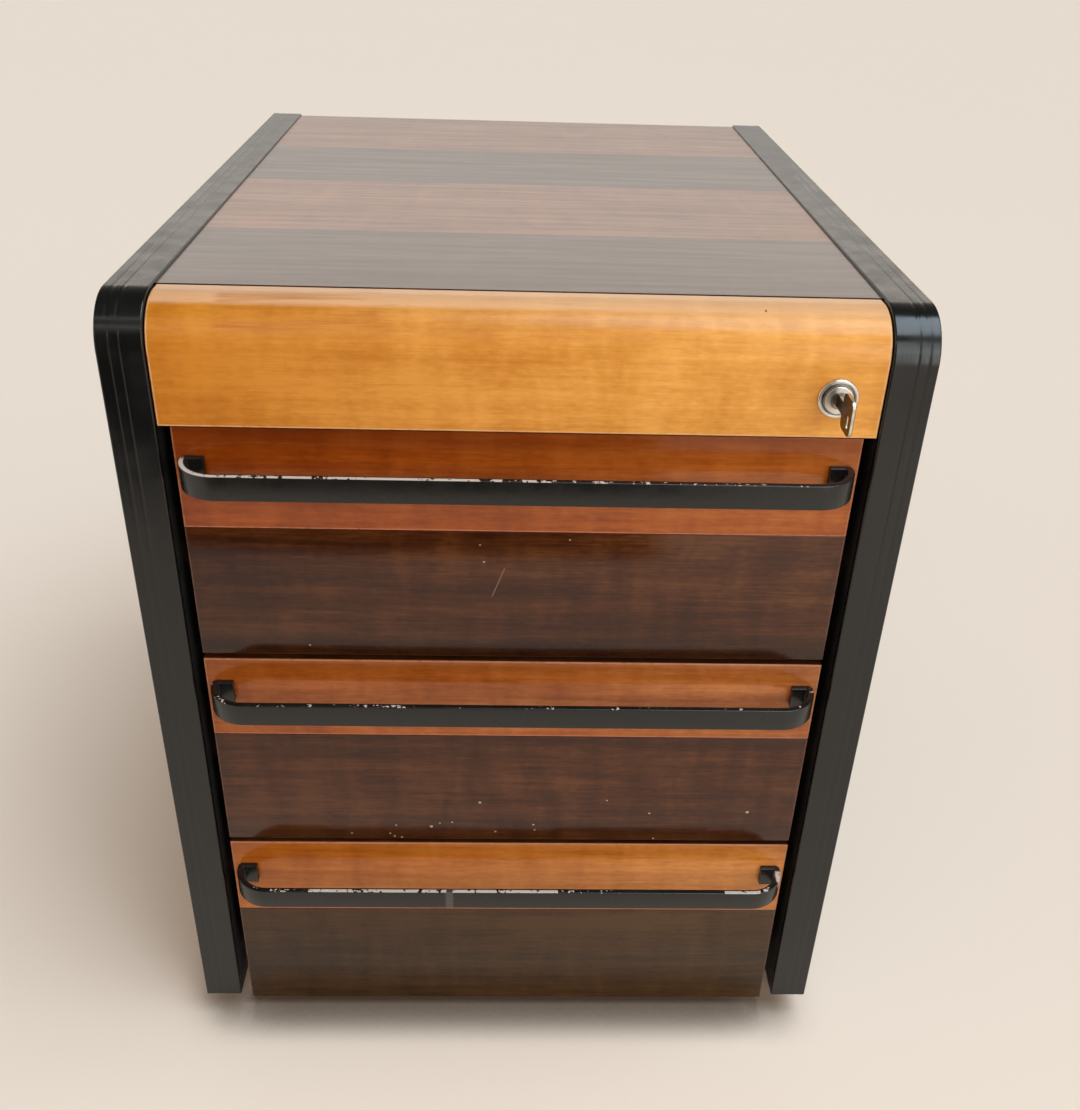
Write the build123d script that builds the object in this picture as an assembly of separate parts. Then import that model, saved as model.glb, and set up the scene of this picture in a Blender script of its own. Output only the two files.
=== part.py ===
from build123d import *
import math
import os

# Drawer pedestal: two side panels with plastic edge trims, a striped top, a shallow pencil drawer
# behind a curved front, three drawers with bent flat bar handles, and four hidden castors.
# All sizes are millimetres. The carcass is drawn with y = 0 at the front of the edge trims, y to the
# back, and z = 0 at the bottom of the side panels. Each piece is moved as it is saved, so that the
# object stands on z = 0, centred on x = 0 and y = 0.

# Carcass
WIDTH = 450.0
DEPTH = 543.0
SIDE_HEIGHT = 532.0
SIDE_T = 25.5
CORNER_R = 28.0
FACE_INSET = 1.5
TOP_T = 19.0
VENEER_T = 1.0
BASE_T = 18.0
BASE_FRONT_GAP = 4.0
BACK_T = 12.0
ARRIS_R = 0.6

# Stripes of the top, from the front; the last one runs to the back
FRONT_STRIPE = 115.5
SECOND_STRIPE = 135.0
THIRD_STRIPE = 118.0

# Edge trim of the side panels
TRIM_T = 3.5
TRIM_ARRIS = 1.0
TONGUE_T = 3.0
TONGUE_DEPTH = 8.0
FLUTE_W = 3.4
FLUTE_DEPTH = 0.3
FLUTE_PITCH = 5.8
FLUTE_SHIFT = 3.4
FLUTES = 2

# Fits
FIT = 0.1
RUNNING = 0.05
SEAT = 0.3
SLIDE_GAP = 0.5

# Dowels and screws
DOWEL_R = 4.0
DOWEL_L = 34.0
DOWEL_BITE = 10.0
DOWEL_END = 60.0
SCREW_R = 1.75
SCREW_HEAD_R = 3.6
SCREW_HEAD_H = 2.0
SCREW_L = 17.0
BACK_SCREW_L = 34.0
RECESS_W = 0.9
RECESS_DEPTH = 0.9

# Pencil drawer
PENCIL_FRONT_H = 69.0
PENCIL_FRONT_T = 16.0
PENCIL_LIP = 36.0
PENCIL_SIDE_GAP = 0.6
TOP_GAP = 1.5
PENCIL_ARRIS = 1.2
TRAY_LOCK_GAP = 27.5
TRAY_RISE = 4.5
TRAY_H = 33.3
TRAY_BACK_GAP = 93.5
TRAY_WALL = 2.5
TRAY_FLANGE = 9.5
TRAY_PEN_L = 180.0
TRAY_SCREW_END = 40.0
HANGER_T = 2.5
HANGER_SHELF = 8.0
HANGER_FLANGE = 15.0
HANGER_FRONT = 80.0
HANGER_BACK_GAP = 71.0
HANGER_SCREW_END = 40.0

# Lock, key and strike
LOCK_SIDE = 25.9
LOCK_RISE = 24.0
FLANGE_R = 11.35
FLANGE_T = 2.0
BOSS_R = 8.0
BOSS_RISE = 2.0
RING_W = 1.4
RING_DEPTH = 1.2
BARREL_R = 9.0
BARREL_L = 23.5
CORE_R = 4.8
CORE_SINK = 0.3
NUT_FLATS = 22.0
NUT_T = 5.0
TAIL_W = 6.0
TAIL_L = 1.9
CAM_T = 2.0
CAM_W = 12.0
CAM_CLEAR = 1.5
CAM_SCREW_R = 1.5
CAM_SCREW_HEAD_R = 4.0
CAM_SCREW_HEAD_H = 2.2
CAM_SCREW_L = 4.6
KEY_T = 2.0
KEY_BLADE_H = 7.0
KEY_BLADE_L = 19.0
KEY_SHANK = 10.3
KEY_BOW_L = 17.5
KEY_BOW_H = 20.0
KEY_BOW_R = 4.0
KEY_PLAY = 0.2
KEY_SLOT_L = 7.0
KEY_SLOT_W = 3.4
KEY_SLOT_DROP = 3.0
KEY_NOTCH = 1.6
KEY_NOTCHES = 4
STRIKE_T = 2.0
STRIKE_W = 22.0
STRIKE_LEG = 7.0
STRIKE_L = 48.0
STRIKE_PLAY = 1.0

# Drawers; the shares say how their fronts divide the height that they fill
DRAWER_SIDE_GAP = 5.5
DRAWER_RECESS = 8.0
DRAWER_FRONT_T = 18.0
FRONT_GAP = 4.0
UNDER_PENCIL_GAP = 3.0
FRONT_DROP = 13.0
UPPER_SHARE = 306
MIDDLE_SHARE = 302
LOWER_SHARE = 319
UPPER_BAND = 63.5
MIDDLE_BAND = 59.5
LOWER_BAND = 64.5
UPPER_BOX_DROP = 23.0
MIDDLE_BOX_DROP = 21.0
LOWER_BOX_DROP = 11.5
BOX_RISE = 12.0
BASE_CLEAR = 5.0
BOX_BACK_GAP = 25.0
BOX_T = 13.0
BOX_SIDE_GAP = 7.5
BOTTOM_T = 4.0
BOTTOM_RISE = 8.0
BOTTOM_GROOVE = 5.0
BACK_DROP = 10.0

# Drawer runners
RAIL_H = 14.0
RAIL_BITE = 6.5
RAIL_UP = 34.0
GROOVE_FRONT = 14.0
RAIL_END_GAP = 11.0
RAIL_SCREW_END = 60.0

# Handles
BAR_H = 15.0
BAR_T = 4.0
BAR_REACH = 27.0
BAR_BEND_R = 23.0
BAR_SIDE_GAP = 4.0
FOOT_L = 13.0
FOOT_BEND_R = 3.0
UPPER_BAR_DROP = 24.5
MIDDLE_BAR_DROP = 23.5
LOWER_BAR_DROP = 27.0
STUD_R = 2.0
STUD_HEAD_R = 4.0
STUD_HEAD_H = 2.2
STUD_BITE = 3.0

# Castors
CASTOR_H = 50.0
FLOOR_GAP = 22.0
WHEEL_R = 20.0
WHEEL_T = 11.0
WHEEL_ARRIS = 2.0
WHEEL_DISH = 1.5
CASTOR_TRAIL = 18.0
CASTOR_WEB_T = 8.0
WHEEL_GAP = 0.8
AXLE_R = 2.5
HOOD_T = 2.2
HOOD_BOSS_R = 8.0
HOOD_SPAN = 150.0
PLATE_W = 38.0
PLATE_T = 2.5
PLATE_HOLE = 14.0
CUP_R = 7.0
CUP_H = 6.5
STEM_R = 4.0
CUP_GAP = 0.6
CASTOR_SIDE = 49.5
CASTOR_FRONT = 74.0
CASTOR_BACK = 60.0

# Places worked out from the sizes above
HALF = WIDTH / 2
INNER = HALF - SIDE_T
KEY_OUT = FLANGE_T + BOSS_RISE - CORE_SINK + KEY_SHANK + KEY_BOW_L - FACE_INSET
MIDDLE_Y = (DEPTH - KEY_OUT) / 2
PLACE = Pos(0, -MIDDLE_Y, FLOOR_GAP)
TOP_Z = SIDE_HEIGHT - FACE_INSET
BOARD_TOP = TOP_Z - VENEER_T
TOP_UNDER = BOARD_TOP - TOP_T
TOP_FRONT = PENCIL_LIP + TOP_GAP
BASE_Z = CASTOR_H - FLOOR_GAP
BASE_TOP = BASE_Z + BASE_T
BACK_FRONT = DEPTH - BACK_T
FRONT_BACK = DRAWER_RECESS + DRAWER_FRONT_T
BASE_FRONT = FRONT_BACK + BASE_FRONT_GAP
PENCIL_BOTTOM = TOP_Z - PENCIL_FRONT_H
PENCIL_BACK = FACE_INSET + PENCIL_FRONT_T
PENCIL_HALF = INNER - PENCIL_SIDE_GAP
LOCK_X = PENCIL_HALF - LOCK_SIDE
LOCK_Z = PENCIL_BOTTOM + LOCK_RISE
CAM_REACH = TOP_UNDER - STRIKE_T - CAM_CLEAR - LOCK_Z
TRAY_HALF = LOCK_X - TRAY_LOCK_GAP
TRAY_BOTTOM = PENCIL_BOTTOM + TRAY_RISE
TRAY_TOP = TRAY_BOTTOM + TRAY_H
TRAY_END = BACK_FRONT - TRAY_BACK_GAP
HANGER_END = BACK_FRONT - HANGER_BACK_GAP
DRAWER_HALF = INNER - DRAWER_SIDE_GAP
FRONTS_H = PENCIL_BOTTOM - UNDER_PENCIL_GAP - 2 * FRONT_GAP + FRONT_DROP
BOX_OUT = INNER - BOX_SIDE_GAP
BOX_IN = BOX_OUT - BOX_T
BOX_END = BACK_FRONT - BOX_BACK_GAP
RAIL_FRONT = FRONT_BACK + GROOVE_FRONT + SLIDE_GAP
RAIL_END = BACK_FRONT - RAIL_END_GAP
LOW = (Align.MIN, Align.MIN, Align.MIN)
STAND = (Align.CENTER, Align.CENTER, Align.MIN)


def block(xs, ys, zs):
    """A box that spans two values on each axis."""
    low = [min(span) for span in (xs, ys, zs)]
    size = [abs(span[1] - span[0]) for span in (xs, ys, zs)]
    return Pos(*low) * Box(*size, align=LOW)


def rod(start, along, radius, length):
    """A round bar from a point, in a direction."""
    return Plane(origin=start, z_dir=along) * Cylinder(radius, length, align=STAND)


def joined(first, *others):
    """Several overlapping shapes as one."""
    for other in others:
        first = first + other
    return first


def save(name, *shapes):
    """Writes one node's solids, moved to where the object stands."""
    solids = [PLACE * solid for shape in shapes for solid in shape.solids()]
    export_step(Compound(children=solids), f"parts/{name}.step")


def screw_shape(start, along, shank_r, head_r, head_h, length, play=0.0):
    """A countersunk screw, or the hole that it goes in when it is given some play."""
    seat = Plane(origin=start, z_dir=along)
    head = seat * Cone(head_r + play, shank_r + play, head_h, align=STAND)
    shank = seat * Cylinder(shank_r + play, length + play, align=STAND)
    return head + shank


def wood_screw(start, along, length=SCREW_L):
    """A countersunk wood screw with a cross recess, its head's face at start."""
    seat = Plane(origin=start, z_dir=along)
    body = screw_shape(start, along, SCREW_R, SCREW_HEAD_R, SCREW_HEAD_H, length)
    arm = seat * Box(2 * SCREW_R, RECESS_W, RECESS_DEPTH, align=STAND)
    other_arm = seat * Box(RECESS_W, 2 * SCREW_R, RECESS_DEPTH, align=STAND)
    return body - arm - other_arm


def screw_hole(start, along, length=SCREW_L):
    """The countersunk hole of a wood screw."""
    return screw_shape(start, along, SCREW_R, SCREW_HEAD_R, SCREW_HEAD_H, length, FIT)


def edge_face(inset):
    """Side view of a side panel, its front, corner and top moved in by inset."""
    front = Line((inset, 0), (inset, SIDE_HEIGHT - CORNER_R))
    corner = CenterArc((CORNER_R, SIDE_HEIGHT - CORNER_R), CORNER_R - inset, 90, 90)
    top = Line((CORNER_R, SIDE_HEIGHT - inset), (DEPTH, SIDE_HEIGHT - inset))
    back = Line((DEPTH, SIDE_HEIGHT - inset), (DEPTH, 0))
    bottom = Line((DEPTH, 0), (inset, 0))
    return Plane.YZ * make_face([front, corner, top, back, bottom])


def edge_slab(inset, xs):
    """The side view as a slab between two values of x."""
    return Pos(min(xs), 0, 0) * extrude(edge_face(inset), abs(xs[1] - xs[0]), dir=(1, 0, 0))


def edge_strip(outer, inner, xs):
    """A strip along the panel's front, corner and top, between two insets."""
    return edge_slab(outer, xs) - edge_slab(inner, xs)


def side_spans(side):
    """The x values of a side panel, and of a middle part of it, on one side."""
    return (side * INNER, side * HALF), side * (INNER + SIDE_T / 2)


def edge_trim(side):
    """Moulded trim round a side panel's edge, with long flutes and a tongue."""
    span, middle = side_spans(side)
    strip = edge_strip(0, TRIM_T, span)
    long_edges = strip.edges().filter_by(lambda e: on_outline(e, span))
    strip = fillet(long_edges, TRIM_ARRIS)
    for number in range(FLUTES):
        centre = middle + side * FLUTE_SHIFT + (number - (FLUTES - 1) / 2) * FLUTE_PITCH
        flute = (centre - FLUTE_W / 2, centre + FLUTE_W / 2)
        strip = strip - edge_strip(0, FLUTE_DEPTH, flute)
    tongue = (middle - TONGUE_T / 2, middle + TONGUE_T / 2)
    return strip + edge_strip(TRIM_T, TRIM_T + TONGUE_DEPTH, tongue)


def on_outline(edge, span):
    """Whether an edge runs along the outer surface of the trim, on one of its two sides."""
    middle = edge.position_at(0.5)
    along_x = abs(edge.position_at(1).X - edge.position_at(0).X) > TRIM_ARRIS
    flat = abs(middle.Y) < FIT or abs(middle.Z - SIDE_HEIGHT) < FIT
    reach = math.hypot(middle.Y - CORNER_R, middle.Z - SIDE_HEIGHT + CORNER_R)
    bend = abs(reach - CORNER_R) < FIT and middle.Y < CORNER_R
    ends = middle.Z < FIT or middle.Y > DEPTH - FIT
    return (flat or bend) and not along_x and not ends


def spread(start, end, inset):
    """Three places between two ends: one near each end and one in the middle."""
    return [start + inset, (start + end) / 2, end - inset]


def carcass_dowels():
    """Dowels between the side panels and the top and base panels."""
    dowels = []
    rows = [(TOP_FRONT, TOP_UNDER + TOP_T / 2), (BASE_FRONT, BASE_Z + BASE_T / 2)]
    for front, z in rows:
        for y in spread(front, BACK_FRONT, DOWEL_END):
            for side in (-1, 1):
                dowels.append((side * (INNER + DOWEL_BITE - DOWEL_L), y, z, side))
    return dowels


def dowel_holes():
    """The holes of all the carcass dowels."""
    for x, y, z, side in carcass_dowels():
        yield rod((x - side * FIT, y, z), (side, 0, 0), DOWEL_R + FIT, DOWEL_L + 2 * FIT)


def drawer_stack():
    """Each drawer's name, front, light band, handle and box, from the top down."""
    top = PENCIL_BOTTOM - UNDER_PENCIL_GAP
    sizes = [
        ("upper_drawer", UPPER_SHARE, UPPER_BAND, UPPER_BAR_DROP, UPPER_BOX_DROP),
        ("middle_drawer", MIDDLE_SHARE, MIDDLE_BAND, MIDDLE_BAR_DROP, MIDDLE_BOX_DROP),
        ("lower_drawer", LOWER_SHARE, LOWER_BAND, LOWER_BAR_DROP, LOWER_BOX_DROP),
    ]
    shares = UPPER_SHARE + MIDDLE_SHARE + LOWER_SHARE
    for name, share, band, drop, box_drop in sizes:
        bottom = top - FRONTS_H * share / shares
        box_z = max(bottom + BOX_RISE, BASE_TOP + BASE_CLEAR)
        yield {"name": name, "top": top, "bottom": bottom, "band": top - band,
               "bar": top - drop, "box": box_z, "box_top": top - box_drop}
        top = bottom - FRONT_GAP


def rail_screws(drawer, side):
    """Head places of the screws of one rail."""
    x = side * (INNER - BOX_SIDE_GAP - RAIL_BITE)
    z = drawer["box"] + RAIL_UP + RAIL_H / 2
    return [(x, y, z) for y in spread(RAIL_FRONT, RAIL_END, RAIL_SCREW_END)]


def rail(drawer, side):
    """A hardwood rail on a side panel, which a grooved drawer side rides on."""
    low = drawer["box"] + RAIL_UP
    xs = (side * INNER, side * (INNER - BOX_SIDE_GAP - RAIL_BITE))
    body = block(xs, (RAIL_FRONT, RAIL_END), (low, low + RAIL_H))
    body = chamfer(body.edges().filter_by(Axis.Z).sort_by(Axis.Y)[:2], ARRIS_R)
    for place in rail_screws(drawer, side):
        body = body - screw_hole(place, (side, 0, 0))
    return body


def side_panel(side):
    """A side panel with its trim groove, dowel holes and runner screw holes."""
    span, middle = side_spans(side)
    panel = edge_slab(TRIM_T, span)
    groove = (middle - TONGUE_T / 2 - FIT, middle + TONGUE_T / 2 + FIT)
    panel = panel - edge_strip(TRIM_T, TRIM_T + TONGUE_DEPTH + FIT, groove)
    holes = list(dowel_holes())
    for drawer in drawer_stack():
        holes += [screw_hole(place, (side, 0, 0)) for place in rail_screws(drawer, side)]
    return panel - holes


def top_panel():
    """The top board under its veneer, with holes for dowels and the screws below it."""
    board = block((-INNER, INNER), (TOP_FRONT, DEPTH), (TOP_UNDER, BOARD_TOP))
    holes = list(dowel_holes())
    holes += [screw_hole(place, (0, 0, 1)) for place in under_top_screws()]
    return board - holes


def top_stripes():
    """The four stripes of the top's veneer: dark and light, from the front."""
    ends = [TOP_FRONT, TOP_FRONT + FRONT_STRIPE]
    ends.append(ends[-1] + SECOND_STRIPE)
    ends.append(ends[-1] + THIRD_STRIPE)
    ends.append(DEPTH)
    spans = zip(ends[:-1], ends[1:])
    return [block((-INNER, INNER), span, (BOARD_TOP, TOP_Z)) for span in spans]


def base_panel():
    """The base board, with holes for dowels, back screws and castor screws."""
    board = block((-INNER, INNER), (BASE_FRONT, BACK_FRONT), (BASE_Z, BASE_TOP))
    holes = list(dowel_holes())
    holes += [screw_hole(place, (0, -1, 0), BACK_SCREW_L) for place in back_screws()]
    holes += [screw_hole(place, (0, 0, 1)) for place in castor_screws()]
    return board - holes


def back_screws():
    """Head places of the screws through the back into the base."""
    xs = spread(-INNER, INNER, DOWEL_END)
    return [(x, DEPTH, BASE_Z + BASE_T / 2) for x in xs]


def back_panel():
    """The back board between the side panels, under the top."""
    board = block((-INNER, INNER), (BACK_FRONT, DEPTH), (BASE_Z, TOP_UNDER))
    return board - [screw_hole(place, (0, -1, 0), BACK_SCREW_L) for place in back_screws()]


def hanger_x(side):
    """The inner face of a hanger's web."""
    return side * (TRAY_HALF + TRAY_FLANGE + SLIDE_GAP)


def hanger_screws(side):
    """Head places of one tray hanger's screws, under the top panel."""
    x = hanger_x(side) + side * (HANGER_T + HANGER_FLANGE) / 2
    ys = spread(HANGER_FRONT, HANGER_END, HANGER_SCREW_END)
    return [(x, y, TOP_UNDER - HANGER_T) for y in ys]


def strike_front():
    """The front face of the strike's leg, just ahead of the turned cam."""
    return cam_y() - STRIKE_PLAY - STRIKE_T


def strike_screws():
    """Head places of the strike's two screws."""
    back = strike_front() + STRIKE_L
    ys = [back - STRIKE_W / 3, back - STRIKE_W]
    return [(LOCK_X, y, TOP_UNDER - STRIKE_T) for y in ys]


def under_top_screws():
    """Head places of all the screws that go up into the top panel."""
    return hanger_screws(-1) + hanger_screws(1) + strike_screws()


def tray_hanger(side):
    """A channel under the top that carries one flange of the pencil tray."""
    ys = (HANGER_FRONT, HANGER_END)
    web_x = hanger_x(side)
    shelf_top = TRAY_TOP - TRAY_WALL - SEAT
    out = web_x + side * HANGER_T
    web = block((web_x, out), ys, (shelf_top - HANGER_T, TOP_UNDER))
    shelf = block((web_x - side * HANGER_SHELF, out), ys, (shelf_top - HANGER_T, shelf_top))
    flange = block((web_x, out + side * HANGER_FLANGE), ys, (TOP_UNDER - HANGER_T, TOP_UNDER))
    return joined(web, shelf, flange) - [screw_hole(p, (0, 0, 1)) for p in hanger_screws(side)]


def lock_strike():
    """An angle plate under the top, which the turned cam catches behind."""
    xs = (LOCK_X - STRIKE_W / 2, LOCK_X + STRIKE_W / 2)
    front = strike_front()
    flat = block(xs, (front, front + STRIKE_L), (TOP_UNDER - STRIKE_T, TOP_UNDER))
    leg = block(xs, (front, front + STRIKE_T), (TOP_UNDER - STRIKE_LEG, TOP_UNDER))
    return joined(flat, leg) - [screw_hole(p, (0, 0, 1)) for p in strike_screws()]


def pencil_front():
    """The bent front of the pencil drawer: upright, round the corner and back to its lip."""
    xs = (-PENCIL_HALF, PENCIL_HALF)
    bend = edge_strip(FACE_INSET, PENCIL_BACK, xs)
    front = bend & block(xs, (0, PENCIL_LIP), (PENCIL_BOTTOM, SIDE_HEIGHT))
    front = fillet(front.edges().filter_by(pencil_arris), PENCIL_ARRIS)
    hole = rod((LOCK_X, 0, LOCK_Z), (0, 1, 0), BARREL_R + FIT, 2 * PENCIL_FRONT_T)
    return front - hole - [screw_hole(p, (0, -1, 0)) for p in tray_screws()]


def pencil_arris(edge):
    """Whether an edge is one of the pencil front's outer ones: its sides and bottom."""
    middle = edge.position_at(0.5)
    across = abs(edge.position_at(1).X - edge.position_at(0).X) > PENCIL_ARRIS
    radius = CORNER_R - FACE_INSET
    reach = math.hypot(middle.Y - CORNER_R, middle.Z - SIDE_HEIGHT + CORNER_R)
    bend = abs(reach - radius) < FIT and middle.Y < CORNER_R
    face = abs(middle.Y - FACE_INSET) < FIT
    top = abs(middle.Z - TOP_Z) < FIT
    lip = top and middle.Y > PENCIL_LIP - FIT
    return face or bend or (top and not across) or lip


def tray_screws():
    """Head places of the screws that hold the tray to the pencil drawer's front."""
    z = TRAY_BOTTOM + TRAY_H / 2
    y = PENCIL_BACK + TRAY_WALL
    return [(x, y, z) for x in spread(-TRAY_HALF, TRAY_HALF, TRAY_SCREW_END)]


def pencil_tray():
    """A moulded tray with two flanges, a cross wall and a divided front part for pens."""
    ys = (PENCIL_BACK, TRAY_END)
    shell = block((-TRAY_HALF, TRAY_HALF), ys, (TRAY_BOTTOM, TRAY_TOP))
    shell = fillet(shell.edges().filter_by(Axis.Z), TRAY_WALL)
    inside = (-TRAY_HALF + TRAY_WALL, TRAY_HALF - TRAY_WALL)
    pen_end = ys[0] + TRAY_WALL + TRAY_PEN_L
    floor = TRAY_BOTTOM + TRAY_WALL
    rooms = [
        (inside, (pen_end + TRAY_WALL, ys[1] - TRAY_WALL)),
        ((inside[0], -TRAY_WALL / 2), (ys[0] + TRAY_WALL, pen_end)),
        ((TRAY_WALL / 2, inside[1]), (ys[0] + TRAY_WALL, pen_end)),
    ]
    for xs, span in rooms:
        room = block(xs, span, (floor, TRAY_TOP + TRAY_WALL))
        shell = shell - fillet(room.edges().filter_by(Axis.Z), TRAY_WALL)
    flange_ys = (cam_y() + CAM_T + CAM_CLEAR, ys[1] - TRAY_WALL)
    for side in (-1, 1):
        reach = (side * (TRAY_HALF - TRAY_WALL), side * (TRAY_HALF + TRAY_FLANGE))
        shell = shell + block(reach, flange_ys, (TRAY_TOP - TRAY_WALL, TRAY_TOP))
    return shell - [screw_hole(p, (0, -1, 0)) for p in tray_screws()]


def lock_front():
    """The front face of the lock's raised boss."""
    return FACE_INSET - FLANGE_T - BOSS_RISE


def barrel_end():
    """The back end of the lock's barrel."""
    return FACE_INSET + BARREL_L


def cam_y():
    """The front face of the cam, just behind the barrel."""
    return barrel_end() + KEY_PLAY


def lock_body():
    """The lock's flange, raised boss and barrel, bored for the core."""
    axis = (0, 1, 0)
    flange = rod((LOCK_X, FACE_INSET - FLANGE_T, LOCK_Z), axis, FLANGE_R, FLANGE_T)
    flange = fillet(flange.edges().sort_by(Axis.Y)[:1], FLANGE_T / 2)
    ring = rod((LOCK_X, FACE_INSET - FLANGE_T, LOCK_Z), axis, BOSS_R + RING_W, RING_DEPTH)
    barrel = rod((LOCK_X, FACE_INSET - FLANGE_T / 2, LOCK_Z), axis, BARREL_R, BARREL_L + FLANGE_T / 2)
    boss = rod((LOCK_X, lock_front(), LOCK_Z), axis, BOSS_R, FLANGE_T + BOSS_RISE)
    boss = fillet(boss.edges().sort_by(Axis.Y)[:1], ARRIS_R)
    bore = rod((LOCK_X, lock_front() - 1, LOCK_Z), axis, CORE_R + RUNNING, 2 * BARREL_L)
    return joined(flange - ring, boss, barrel) - bore


def lock_nut():
    """The hexagon nut that clamps the barrel from behind the front."""
    seat = Plane(origin=(LOCK_X, PENCIL_BACK, LOCK_Z), z_dir=(0, 1, 0))
    hexagon = seat * extrude(RegularPolygon(NUT_FLATS / 2, 6, major_radius=False), NUT_T)
    return hexagon - rod((LOCK_X, 0, LOCK_Z), (0, 1, 0), BARREL_R + FIT, 2 * BARREL_L)


def lock_core():
    """The turning core with its keyway, and the square tail that carries the cam."""
    front = lock_front() + CORE_SINK
    end = cam_y() - RUNNING
    body = rod((LOCK_X, front, LOCK_Z), (0, 1, 0), CORE_R, end - front)
    tail = block((LOCK_X - TAIL_W / 2, LOCK_X + TAIL_W / 2), (end, end + TAIL_L),
                 (LOCK_Z - TAIL_W / 2, LOCK_Z + TAIL_W / 2))
    wide = KEY_T / 2 + KEY_PLAY
    high = KEY_BLADE_H / 2 + KEY_PLAY
    keyway = block((LOCK_X - wide, LOCK_X + wide), (front - 1, front + KEY_BLADE_L + SLIDE_GAP),
                   (LOCK_Z - high, LOCK_Z + high))
    thread = rod((LOCK_X, cam_y() + CAM_T + FIT, LOCK_Z), (0, -1, 0), CAM_SCREW_R + FIT,
                 CAM_SCREW_L + 2 * FIT)
    return body + tail - keyway - thread


def lock_cam():
    """The cam on the core's tail, pointing inwards while the drawer is unlocked."""
    y = cam_y()
    arm = block((LOCK_X, LOCK_X - CAM_REACH + CAM_W / 2), (y, y + CAM_T),
                (LOCK_Z - CAM_W / 2, LOCK_Z + CAM_W / 2))
    tip = rod((LOCK_X - CAM_REACH + CAM_W / 2, y, LOCK_Z), (0, 1, 0), CAM_W / 2, CAM_T)
    hub = rod((LOCK_X, y, LOCK_Z), (0, 1, 0), CAM_W / 2, CAM_T)
    half = TAIL_W / 2 + FIT
    square = block((LOCK_X - half, LOCK_X + half), (y - 1, y + 2 * CAM_T),
                   (LOCK_Z - half, LOCK_Z + half))
    return joined(arm, tip, hub) - square


def cam_screw():
    """The pan head screw that holds the cam."""
    y = cam_y() + CAM_T
    head = rod((LOCK_X, y, LOCK_Z), (0, 1, 0), CAM_SCREW_HEAD_R, CAM_SCREW_HEAD_H)
    head = fillet(head.edges().sort_by(Axis.Y)[-1:], ARRIS_R)
    return head + rod((LOCK_X, y, LOCK_Z), (0, -1, 0), CAM_SCREW_R, CAM_SCREW_L)


def key():
    """A flat key: notched blade, shank and a bow with a slot, standing upright in the lock."""
    core_front = lock_front() + CORE_SINK
    bow_back = core_front - KEY_SHANK
    xs = (LOCK_X - KEY_T / 2, LOCK_X + KEY_T / 2)
    blade = block(xs, (bow_back - KEY_BOW_R, core_front + KEY_BLADE_L),
                  (LOCK_Z - KEY_BLADE_H / 2, LOCK_Z + KEY_BLADE_H / 2))
    bow = block(xs, (bow_back - KEY_BOW_L, bow_back),
                (LOCK_Z - KEY_BOW_H / 2, LOCK_Z + KEY_BOW_H / 2))
    bow = fillet(bow.edges().filter_by(Axis.X), KEY_BOW_R)
    slot_y = bow_back - KEY_BOW_L + KEY_BOW_R
    slot_z = LOCK_Z - KEY_SLOT_DROP
    slot = block((LOCK_X - KEY_T, LOCK_X + KEY_T), (slot_y, slot_y + KEY_SLOT_W),
                 (slot_z - KEY_SLOT_L / 2, slot_z + KEY_SLOT_L / 2))
    slot = fillet(slot.edges().filter_by(Axis.X), KEY_SLOT_W / 3)
    shape = blade + bow - slot
    pitch = KEY_BLADE_L / (KEY_NOTCHES + 1)
    for number in range(KEY_NOTCHES):
        y = core_front + (number + 1) * pitch
        notch = rod((LOCK_X - KEY_T, y, LOCK_Z - KEY_BLADE_H / 2), (1, 0, 0), KEY_NOTCH, 2 * KEY_T)
        shape = shape - notch
    return shape


def bar_x():
    """The outer half width of a handle."""
    return DRAWER_HALF - BAR_SIDE_GAP


def stud_places(drawer):
    """Head places of a handle's two screws, sunk in the back of the front board."""
    x = bar_x() - FOOT_L / 2
    return [(-x, FRONT_BACK, drawer["bar"]), (x, FRONT_BACK, drawer["bar"])]


def stud(place, play=0.0):
    """A handle screw from behind, or its hole."""
    length = DRAWER_FRONT_T + STUD_BITE
    return screw_shape(place, (0, -1, 0), STUD_R, STUD_HEAD_R, STUD_HEAD_H, length, play)


def rounded_bay(half, front, radius):
    """Plan view of a bay in front of the drawer, its two front corners rounded."""
    depth = DRAWER_RECESS - front
    bay = Pos(0, front + depth / 2) * Rectangle(2 * half, depth)
    return fillet(bay.vertices().sort_by(Axis.Y)[:2], radius)


def handle(drawer):
    """A flat bar bent round two wide corners, its feet turned inwards on the front."""
    front = DRAWER_RECESS - BAR_REACH
    outer = rounded_bay(bar_x(), front, BAR_BEND_R)
    inner = rounded_bay(bar_x() - BAR_T, front + BAR_T, BAR_BEND_R - BAR_T)
    plan = outer - inner
    for side in (-1, 1):
        foot = Pos(side * (bar_x() - FOOT_L / 2), DRAWER_RECESS - BAR_T / 2) * Rectangle(FOOT_L, BAR_T)
        plan = plan + foot
    bar = Pos(0, 0, drawer["bar"] - BAR_H / 2) * extrude(plan, BAR_H)
    corners = [e for e in bar.edges().filter_by(Axis.Z) if heel(e)]
    bar = fillet(corners, FOOT_BEND_R)
    rims = [bar.faces().sort_by(Axis.Z)[0], bar.faces().sort_by(Axis.Z)[-1]]
    bar = fillet([edge for rim in rims for edge in rim.edges()], ARRIS_R)
    return bar - [stud(place, FIT) for place in stud_places(drawer)]


def heel(edge):
    """Whether an upright edge is the outer corner where a foot meets the drawer front."""
    middle = edge.position_at(0.5)
    return abs(middle.Y - DRAWER_RECESS) < FIT and abs(middle.X) > bar_x() - FIT


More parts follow.
